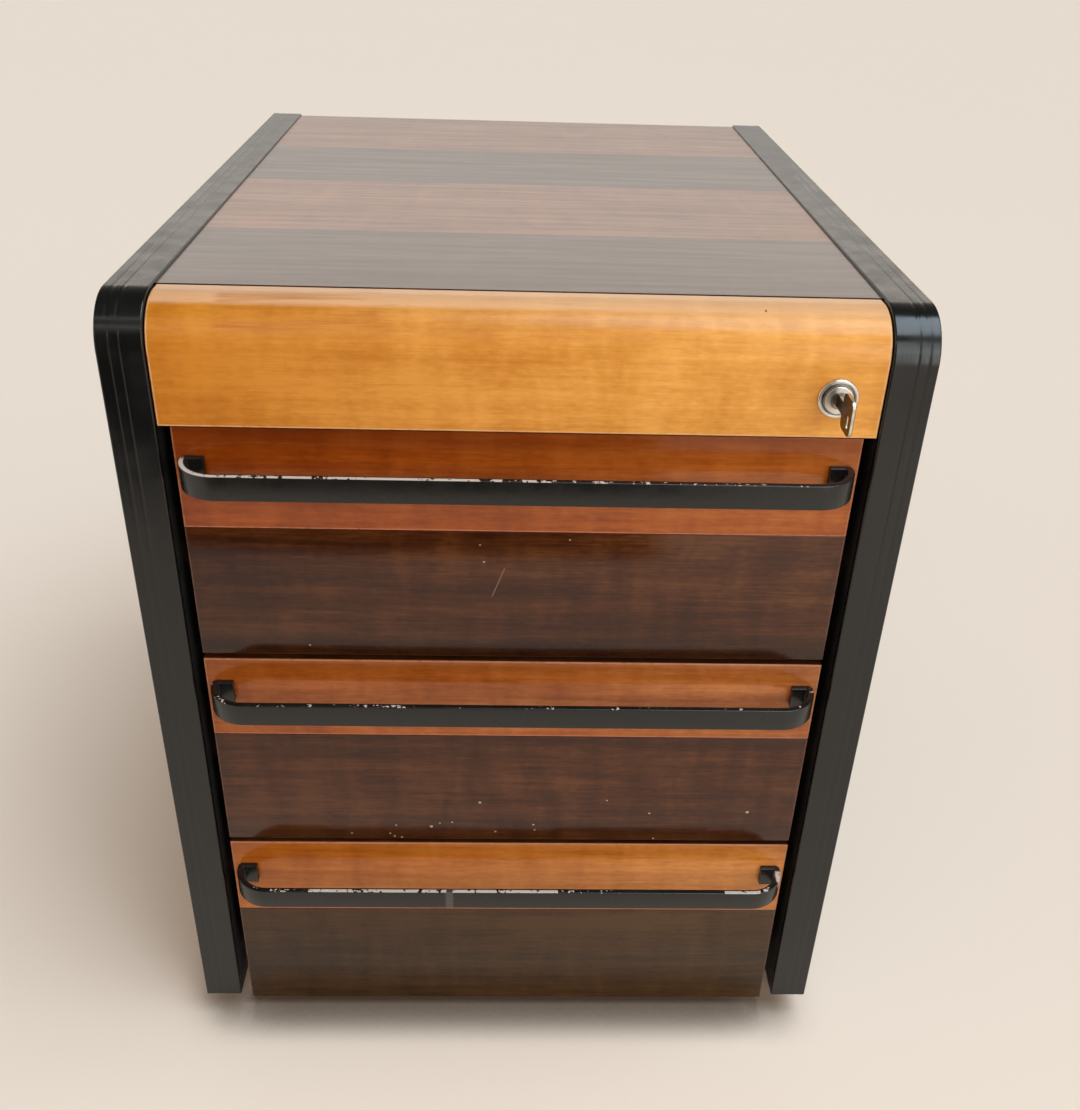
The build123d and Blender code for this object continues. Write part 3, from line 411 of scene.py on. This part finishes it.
# Stretches of a bar's top, from x to x in metres, and how much of their enamel is worn away.
WEAR = {
    "upper_drawer": [(-0.193, -0.173, 1.0), (-0.173, -0.132, 0.62), (-0.128, -0.114, 0.9),
                     (-0.113, -0.104, 0.46), (-0.104, -0.034, 0.78), (-0.034, -0.024, 0.9),
                     (-0.024, 0.022, 0.5), (0.0405, 0.045, 0.75), (0.022, 0.155, 0.3)],
    "middle_drawer": [(-0.193, 0.193, 0.16), (-0.13, -0.07, 0.32)],
    "lower_drawer": [(-0.175, -0.136, 0.34), (-0.136, -0.064, 0.72), (-0.060, 0.010, 0.66),
                     (0.010, 0.032, 0.85), (0.032, 0.075, 0.34), (0.148, 0.178, 0.72)],
}


def worn_enamel(drawer, offset):
    """Dark satin enamel on a steel bar. Its top is rubbed to the pale primer along the outer edge,
    where ragged noise is under the wear listed for that stretch of x. The place across the top is
    the distance from the middle of the bend, or from a line through it along x, so that the worn
    line follows the bends."""
    low, high = corners(f"{drawer}_handle")
    bend = BAR_BEND * MM
    paint = Finish(f"{drawer}_enamel")
    beside = paint.most(paint.math("SUBTRACT", paint.math("ABSOLUTE", paint.x), high[0] - bend), 0.0)
    before = paint.most(paint.math("SUBTRACT", low[1] + bend, paint.y), 0.0)
    reach = paint.length(beside, before)
    ragged = paint.blend(3.2, (paint.noise((110, 60, 60), offset, 3, 0.65), 0.6),
                         (paint.noise((420, 420, 420), offset, 2, 0.6), 0.5))
    stretches = [paint.product(paint.near(paint.x, (start + end) / 2, (end - start) / 2, 0.002), share)
                 for start, end, share in WEAR[drawer]]
    worn = paint.product(
        paint.band(paint.math("SUBTRACT", paint.most(*stretches), ragged), 0.0, 0.06),
        paint.band(paint.z, high[2] - 0.0008, high[2] - 0.0002),
        paint.near(reach, bend - 0.0014, 0.0010, 0.0004),
        paint.band(paint.y, low[1] + bend + 0.003, low[1] + bend - 0.003))
    if drawer == "lower_drawer":
        chip = paint.product(
            paint.near(paint.x, high[0] - 0.002, 0.002, 0.001),
            paint.near(paint.y, low[1] + 0.016, 0.004, 0.002),
            paint.band(paint.z, high[2] - 0.007, high[2] - 0.005),
            paint.band(ragged, 1.0, 0.7))
        smear = paint.product(paint.near(paint.x, -0.042, 0.0015, 0.002), 0.09)
        worn = paint.most(worn, chip, smear)
    cloud = paint.noise((70, 70, 70), offset, 3)
    colour = paint.mix(cloud, (0.004, 0.004, 0.0035), (0.010, 0.009, 0.0075))
    paint.set("Base Color", paint.mix(worn, colour, (0.56, 0.49, 0.43)))
    paint.set("Roughness", paint.band(cloud, 0.3, 0.7, 0.24, 0.32))
    paint.set("Normal", paint.bump(paint.noise((900, 900, 900), offset, 2), 0.000012))
    return paint


# Shapes

def grid_faces(rows, columns):
    """The four corner numbers of each cell of a grid whose columns run round and join."""
    i, j = np.meshgrid(np.arange(rows - 1), np.arange(columns), indexing="ij")
    here, after, beside = i * columns, (i + 1) * columns, (j + 1) % columns
    return np.stack([here + j, after + j, after + beside, here + beside], -1).reshape(-1, 4)


def piece(name, points, body, finish, replaces=()):
    """A mesh piece from a grid of points whose columns run round it, its end rows closed."""
    rows, columns = points.shape[:2]
    faces = grid_faces(rows, columns).tolist()
    faces.append(list(range(columns)))
    faces.append(list(range((rows - 1) * columns, rows * columns)))
    mesh = bpy.data.meshes.new(name)
    mesh.from_pydata(points.reshape(-1, 3), [], faces)
    return dress(name, mesh, body, finish, replaces)


def dress(name, mesh, body, finish, replaces, sharp=35.0):
    """Cleans a mesh, turns its faces outwards and makes it a piece that rides on a body."""
    work = bmesh.new()
    work.from_mesh(mesh)
    bmesh.ops.remove_doubles(work, verts=work.verts, dist=0.000002)
    bmesh.ops.dissolve_degenerate(work, edges=work.edges, dist=0.000001)
    bmesh.ops.recalc_face_normals(work, faces=work.faces)
    work.to_mesh(mesh)
    work.free()
    mesh.shade_smooth()
    mesh.set_sharp_from_angle(angle=math.radians(sharp))
    mesh.materials.clear()
    mesh.materials.append(finish.material)
    made = bpy.data.objects.new(name, mesh)
    bpy.context.scene.collection.objects.link(made)
    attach(made, body)
    if replaces:
        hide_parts(*replaces)
    return made


def eased_board(low, high, radius, steps=4):
    """A board with eased edges: the points of a small ball, each pushed out to the nearest corner of
    the board shrunk by the ball's radius."""
    middle, half = (low + high) / 2, (high - low) / 2 - radius
    quarter = np.linspace(0, math.pi / 2, steps + 1)
    round_turn = np.concatenate([quarter + k * math.pi / 2 for k in range(4)])
    sign_x = np.repeat([1, -1, -1, 1], steps + 1)
    sign_y = np.repeat([1, 1, -1, -1], steps + 1)
    rise = np.concatenate([quarter - math.pi / 2, quarter])
    sign_z = np.repeat([-1, 1], steps + 1)
    flat = np.cos(rise)[:, None]
    ball = np.stack([flat * np.cos(round_turn), flat * np.sin(round_turn),
                     np.sin(rise)[:, None] + 0 * round_turn], -1)
    sign = np.stack(np.broadcast_arrays(sign_x, sign_y, sign_z[:, None]), -1)
    return middle + sign * half + radius * ball


def trim_profile():
    """Across a trim, from its inner side: place in mm and depth below the outer face in mm. The
    depth adds a rounded arris at each side, two shallow grooves as raised cosines, and fine reeding
    as a small cosine."""
    width, arris = TRIM_WIDE, TRIM_ARRIS
    ends = arris * (1 - np.cos(np.linspace(0, math.pi / 2, 7)))
    inner = np.linspace(arris, width - arris, 131)[1:-1]
    across = np.concatenate([ends, inner, width - ends[::-1]])
    edge = np.minimum(across, width - across)
    depth = arris - np.sqrt(np.maximum(arris**2 - np.maximum(arris - edge, 0)**2, 0))
    for centre in GROOVE_PLACES:
        away = np.abs(across - centre)
        wave = 1 + np.cos(away * math.pi / GROOVE_HALF)
        depth = depth + np.where(away < GROOVE_HALF, GROOVE_DEEP / 2 * wave, 0)
    reeding = REED_DEEP / 2 * (1 - np.cos(across * 2 * math.pi / REED_PITCH))
    return across, depth + np.where((across > 1.8) & (across < width - 1.4), reeding, 0)


def trim_path(low, high, steps=36):
    """Side view of a trim: up the front, round the corner as a quarter circle, and back along the
    top, as points (y, z) with their outward directions."""
    radius = CORNER_RADIUS * MM
    turn = np.linspace(0, math.pi / 2, steps)
    out = np.concatenate([[[-1, 0]], np.stack([-np.cos(turn), np.sin(turn)], -1), [[0, 1]]])
    middle = np.array([low[1] + radius, high[2] - radius])
    points = middle + radius * out
    points[0, 1] = low[2]
    points[-1, 0] = high[1]
    return points, out


def edge_trim(side, finish):
    """A trim's profile carried along its path: each point of the path less the profile's depth times
    the outward direction. Its back is flat, with a tongue in the panel's groove."""
    name = f"{side}_edge_trim"
    low, high = corners(name)
    across, depth = trim_profile()
    back, root = TRIM_THICK, TRIM_THICK + TONGUE_DEEP
    tongue = TRIM_WIDE / 2 + TONGUE_THICK / 2 * np.array([1, 1, -1, -1])
    across = np.concatenate([across, across[-1:], tongue, across[:1]])
    depth = np.concatenate([depth, [back, back, root, root, back, back]])
    path, out = trim_path(low, high)
    place = path[:, None, :] - depth[None, :, None] * MM * out[:, None, :]
    x = high[0] - across * MM if side == "left" else low[0] + across * MM
    points = np.concatenate([np.broadcast_to(x, place.shape[:2])[..., None], place], -1)
    return piece(f"{side}_grooved_trim", points, "cabinet", finish, [name])


def arc(centre, radius, start, end, steps=14):
    """Points of an arc, from one angle in degrees to another."""
    turn = np.linspace(math.radians(start), math.radians(end), steps)
    return np.stack([centre[0] + radius * np.cos(turn), centre[1] + radius * np.sin(turn)], -1)


def bar_plan(half, reach):
    """Plan of a handle as matching points of its outer and inner line, in mm: the foot, the heel,
    the leg, the wide bend, and the same mirrored."""
    thick, foot, heel, bend = BAR_THICK, BAR_FOOT, BAR_HEEL, BAR_BEND
    bend_middle, heel_inside = (half - bend, reach - bend), thick + HEEL_INSIDE
    outer = np.concatenate([[(half - foot, 0.0)], arc((half - heel, heel), heel, -90, 0),
                            arc(bend_middle, bend, 0, 90), [(0.0, reach)]])
    inner = np.concatenate([[(half - foot, thick)],
                            arc((half - heel_inside, heel_inside), HEEL_INSIDE, -90, 0),
                            arc(bend_middle, bend - thick, 0, 90), [(0.0, reach - thick)]])
    mirror = np.array([-1.0, 1.0])
    return [np.concatenate([line, (line * mirror)[-2::-1]]) for line in (outer, inner)]


def handle(drawer, finish):
    """A flat bar: a tall rectangle with rounded corners, whose share of the thickness mixes the
    outer and inner line of the plan."""
    name = f"{drawer}_handle"
    low, high = corners(name)
    half, reach, tall = high[0] / MM, (high[1] - low[1]) / MM, (high[2] - low[2]) / MM
    near, far, top = BAR_EASE, BAR_THICK - BAR_EASE, tall - BAR_EASE
    outer, inner = bar_plan(half, reach)
    middles = [(far, top), (near, top), (near, near), (far, near)]
    section = np.concatenate([arc(middle, BAR_EASE, 90 * k, 90 * k + 90, 5)
                              for k, middle in enumerate(middles)])
    share = (section[:, 0] / BAR_THICK)[None, :, None]
    plan = outer[:, None, :] * (1 - share) + inner[:, None, :] * share
    points = np.stack([plan[..., 0] * MM, high[1] - plan[..., 1] * MM,
                       low[2] + np.broadcast_to(section[:, 1], plan.shape[:2]) * MM], -1)
    return piece(f"{drawer}_bar_handle", points, drawer, finish, [name])


def softened(node, name, body, finish, width):
    """A merged copy of a CAD node with its sharp edges rounded."""
    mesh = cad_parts[node].data.copy()
    mesh.name = name
    made = dress(name, mesh, body, finish, [node], 25.0)
    bevel = made.modifiers.new("rounded", "BEVEL")
    bevel.width, bevel.segments = width, 2
    bevel.limit_method, bevel.angle_limit = "ANGLE", math.radians(30)
    return made


# Camera, floor and light

CAMERA_PITCH, CAMERA_YAW, CAMERA_ROLL = (math.radians(angle) for angle in (30.454, 2.168, -1.910))
CAMERA_PLACE = (-0.009055, -0.838919, 0.748967)
PHOTO_HIGH, FOCAL_LENGTH = 1110, 1154.62  # in the photograph's pixels
SENSOR = 36.0
PALE_PAPER = (0.80, 0.72, 0.62)
# The surroundings' colour by the sine of the height over the horizon.
SURROUNDINGS = [
    (0.0, PALE_PAPER), (0.08, (0.74, 0.68, 0.60)), (0.16, (0.60, 0.57, 0.53)),
    (0.225, (0.86, 0.83, 0.78)), (0.28, (1.74, 1.58, 1.42)), (0.34, (1.85, 1.68, 1.50)),
    (0.375, (0.40, 0.37, 0.33)), (0.62, (0.18, 0.16, 0.145)),
    (0.80, (0.10, 0.09, 0.08)), (1.0, (0.08, 0.072, 0.065))]


def turned(across, up, back, place):
    """A matrix with those directions as its axes, at a place."""
    turn = np.eye(4)
    turn[:3, 0], turn[:3, 1], turn[:3, 2], turn[:3, 3] = across, up, back, place
    return Matrix(turn.tolist())


def photograph_camera():
    """The photograph's camera, solved from the edges of the trims, fronts and top."""
    pitch, yaw, roll = CAMERA_PITCH, CAMERA_YAW, CAMERA_ROLL
    ahead = np.array([math.sin(yaw) * math.cos(pitch), math.cos(yaw) * math.cos(pitch), -math.sin(pitch)])
    right = np.array([math.cos(yaw), -math.sin(yaw), 0.0])
    down = np.cross(ahead, right)
    across = math.cos(roll) * right + math.sin(roll) * down
    below = -math.sin(roll) * right + math.cos(roll) * down
    data = bpy.data.cameras.new("camera")
    data.sensor_fit, data.sensor_height, data.sensor_width = "VERTICAL", SENSOR, SENSOR
    data.lens = SENSOR * FOCAL_LENGTH / PHOTO_HIGH
    data.clip_start = 0.01
    camera = bpy.data.objects.new("camera", data)
    camera.matrix_world = turned(across, -below, -ahead, CAMERA_PLACE)
    bpy.context.scene.collection.objects.link(camera)
    bpy.context.scene.camera = camera


def flat_sheet(name, points, finish):
    """A flat stage piece through four points."""
    mesh = bpy.data.meshes.new(name)
    mesh.from_pydata(points, [], [[0, 1, 2, 3]])
    mesh.materials.append(finish.material)
    made = bpy.data.objects.new(name, mesh)
    bpy.context.scene.collection.objects.link(made)
    return made


def floor():
    """A wide pale floor, a little paler at the back. What stands within 4 cm of it, towards the lit side,
    darkens it with a painted contact shadow."""
    half = 14.0
    paper = Finish("floor", Roughness=0.9, Specular_IOR_Level=0.0)
    cloud = paper.noise((0.8, 0.8, 0.8), detail=2)
    colour = paper.mix(paper.band(paper.y, -0.5, 1.2), (0.840, 0.716, 0.604), (0.885, 0.766, 0.653))
    colour = paper.mix(paper.math("MULTIPLY", cloud, 0.05), colour, (0.74, 0.64, 0.55))
    lit_side = paper.node("ShaderNodeCombineXYZ", {0: 0.35, 1: 0.80, 2: 0.60}).outputs[0]
    # Painted contact shadow: an occlusion node darkens the floor's colour near the object.
    painted_contact_shadow = paper.node("ShaderNodeAmbientOcclusion", {"Distance": 0.042, "Normal": lit_side}, samples=16)
    shade = paper.band(painted_contact_shadow.outputs["AO"], 0.42, 0.98)
    paper.set("Base Color", paper.mix(shade, (0.08, 0.05, 0.03), colour))
    flat_sheet("floor", [(-half, -half, 0), (half, -half, 0), (half, half, 0), (-half, half, 0)], paper)


def dark_card():
    """A dark card behind the camera that only reflections show, to keep the glossy fronts deep."""
    cloth = Finish("dark_card", Roughness=0.9, Specular_IOR_Level=0.0)
    cloth.set("Base Color", cloth.mix(cloth.noise((3, 3, 3)), (0.012, 0.012, 0.012), (0.02, 0.02, 0.02)))
    y, tall, left, right, top_right = -1.15, 0.95, -0.75, 0.30, 0.22
    points = [(left, y, 0.0), (right, y, 0.0), (top_right, y, tall), (left, y, tall)]
    card = flat_sheet("dark_card", points, cloth)
    card.visible_camera = card.visible_diffuse = card.visible_shadow = card.visible_transmission = False


def aimed(azimuth, height):
    """Direction towards a light: azimuth from straight before the object's front towards +x."""
    a, h = math.radians(azimuth), math.radians(height)
    return np.array([math.sin(a) * math.cos(h), -math.cos(a) * math.cos(h), math.sin(h)])


def lamp(name, data, direction, place=(0, 0, 0)):
    """A light at a place, that shines against its direction."""
    side = np.cross(UP, direction)
    side = side / np.linalg.norm(side)
    made = bpy.data.objects.new(name, data)
    made.matrix_world = turned(side, np.cross(direction, side), direction, place)
    bpy.context.scene.collection.objects.link(made)
    return made


def sun(name, strength, azimuth, height, size, colour):
    """A soft far light; angles and its size in degrees."""
    data = bpy.data.lights.new(name, "SUN")
    data.energy, data.angle, data.color = strength, math.radians(size), colour
    return lamp(name, data, aimed(azimuth, height))


def panel(name, power, direction, target, distance, wide, tall, colour=(1.0, 1.0, 1.0)):
    """A flat rectangular light that faces a target, in watts and metres."""
    data = bpy.data.lights.new(name, "AREA")
    data.shape, data.size, data.size_y = "RECTANGLE", wide, tall
    data.energy, data.color = power, colour
    return lamp(name, data, direction, distance * direction + np.array(target))


def studio():
    """Surroundings by height: pale to 20 degrees above the horizon, then a dim ceiling. The camera
    sees them as plain pale paper."""
    world = bpy.data.worlds.new("studio")
    bpy.context.scene.world = world
    world.use_nodes = True
    nodes, links = world.node_tree.nodes, world.node_tree.links
    split = nodes.new("ShaderNodeSeparateXYZ")
    ramp = fill_ramp(nodes.new("ShaderNodeValToRGB"), SURROUNDINGS)
    seen = nodes.new("ShaderNodeMix")
    seen.data_type = "RGBA"
    seen.inputs[7].default_value = (*PALE_PAPER, 1)
    links.new(nodes.new("ShaderNodeTexCoord").outputs["Generated"], split.inputs[0])
    links.new(split.outputs[2], ramp.inputs[0])
    links.new(nodes.new("ShaderNodeLightPath").outputs["Is Camera Ray"], seen.inputs[0])
    links.new(ramp.outputs[0], seen.inputs[6])
    links.new(seen.outputs[2], nodes["Background"].inputs[0])
    sun("key", 2.25, 62, 66, 42, (0.75, 0.89, 1.0))
    sun("fill", 0.6, -5, 32, 40, (1.0, 0.70, 0.48)).visible_glossy = False
    panel("window", 3.6, aimed(35, 20), (0.0, -0.25, 0.28), 1.35, 0.45, 0.95, (0.88, 0.95, 1.0))
    for name, height in (("high_tube", 56), ("low_tube", 38)):
        panel(name, 3.0, aimed(0, height), (-0.2, -0.25, 0.5), 2.2, 3.0, 0.14)


# The dressed object

photograph_camera()
bpy.context.scene.view_settings.view_transform = "Standard"
floor()
dark_card()
studio()

trim_black = satin_plastic("trim_plastic", (0.004, 0.0042, 0.004), 0.2, 0.002, 0.000004)
for side in ("left", "right"):
    edge_trim(side, trim_black)

for number, drawer in enumerate(DRAWERS):
    handle(drawer, worn_enamel(drawer, (number * 3.1, 0.4, 0.2)))
    bands = {"light": light_band(drawer, (0.4 + number, 0.2, 0.3 * number)),
             "dark": dark_band(drawer, (0.1 + number, 0.7, 0.5 * number))}
    for shade, finish in bands.items():
        node = f"{drawer}_{shade}_veneer"
        board = eased_board(*corners(node), VENEER_EASE * MM)
        piece(f"{drawer}_{shade}_face", board, drawer, finish, [node])

nickel = lock_nickel()
key_metal = key_steel()
softened("lock_body", "lock_flange_and_barrel", "pencil_drawer", nickel, 0.00025)
softened("key", "flat_key", "key", key_metal, 0.0003)

# Finish of each CAD material slot.
finishes = {
    "black_laminate": satin_plastic("black_laminate", (0.010, 0.0098, 0.0095), 0.4, 0.004),
    "honey_veneer": honey_veneer(),
    "light_veneer": top_stripe("top_light_veneer", TOP_LIGHT_TONES, (0.9, 0.1, 0.0)),
    "dark_veneer": top_stripe("top_dark_veneer", TOP_DARK_TONES, (0.2, 0.6, 0.0)),
    "front_board": plain_wood("front_board", DARK_TONES["upper_drawer"], (0.5, 0.3, 0.0)),
    "carcass_board": plain_wood("carcass_board", DARK_TONES["upper_drawer"], (0.7, 0.9, 0.0)),
    "drawer_box": plain_wood("drawer_box", DRAWER_BOX_TONES, (0.1, 0.2, 0.3), "y"),
    "drawer_bottom": satin_plastic("drawer_bottom", (0.50, 0.35, 0.20), 0.5, 0.07),
    "hardwood": plain_wood("hardwood", RUNNER_TONES, (0.4, 0.2, 0.3), "y"),
    "zinc_steel": metal("zinc_steel", (0.62, 0.62, 0.60), 0.32),
    "lock_nickel": nickel,
    "core_nickel": metal("core_nickel", (0.36, 0.31, 0.24), 0.3),
    "key_steel": key_metal,
    "tray_plastic": satin_plastic("tray_plastic", (0.03, 0.03, 0.032), 0.5, 0.01),
    "castor_plastic": satin_plastic("castor_plastic", (0.018, 0.018, 0.019), 0.45, 0.006),
    "trim_plastic": trim_black,
}
for node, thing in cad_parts.items():
    for place in thing.material_slots:
        found = finishes.get(place.material.name)
        if found is not None:
            place.material = found.material
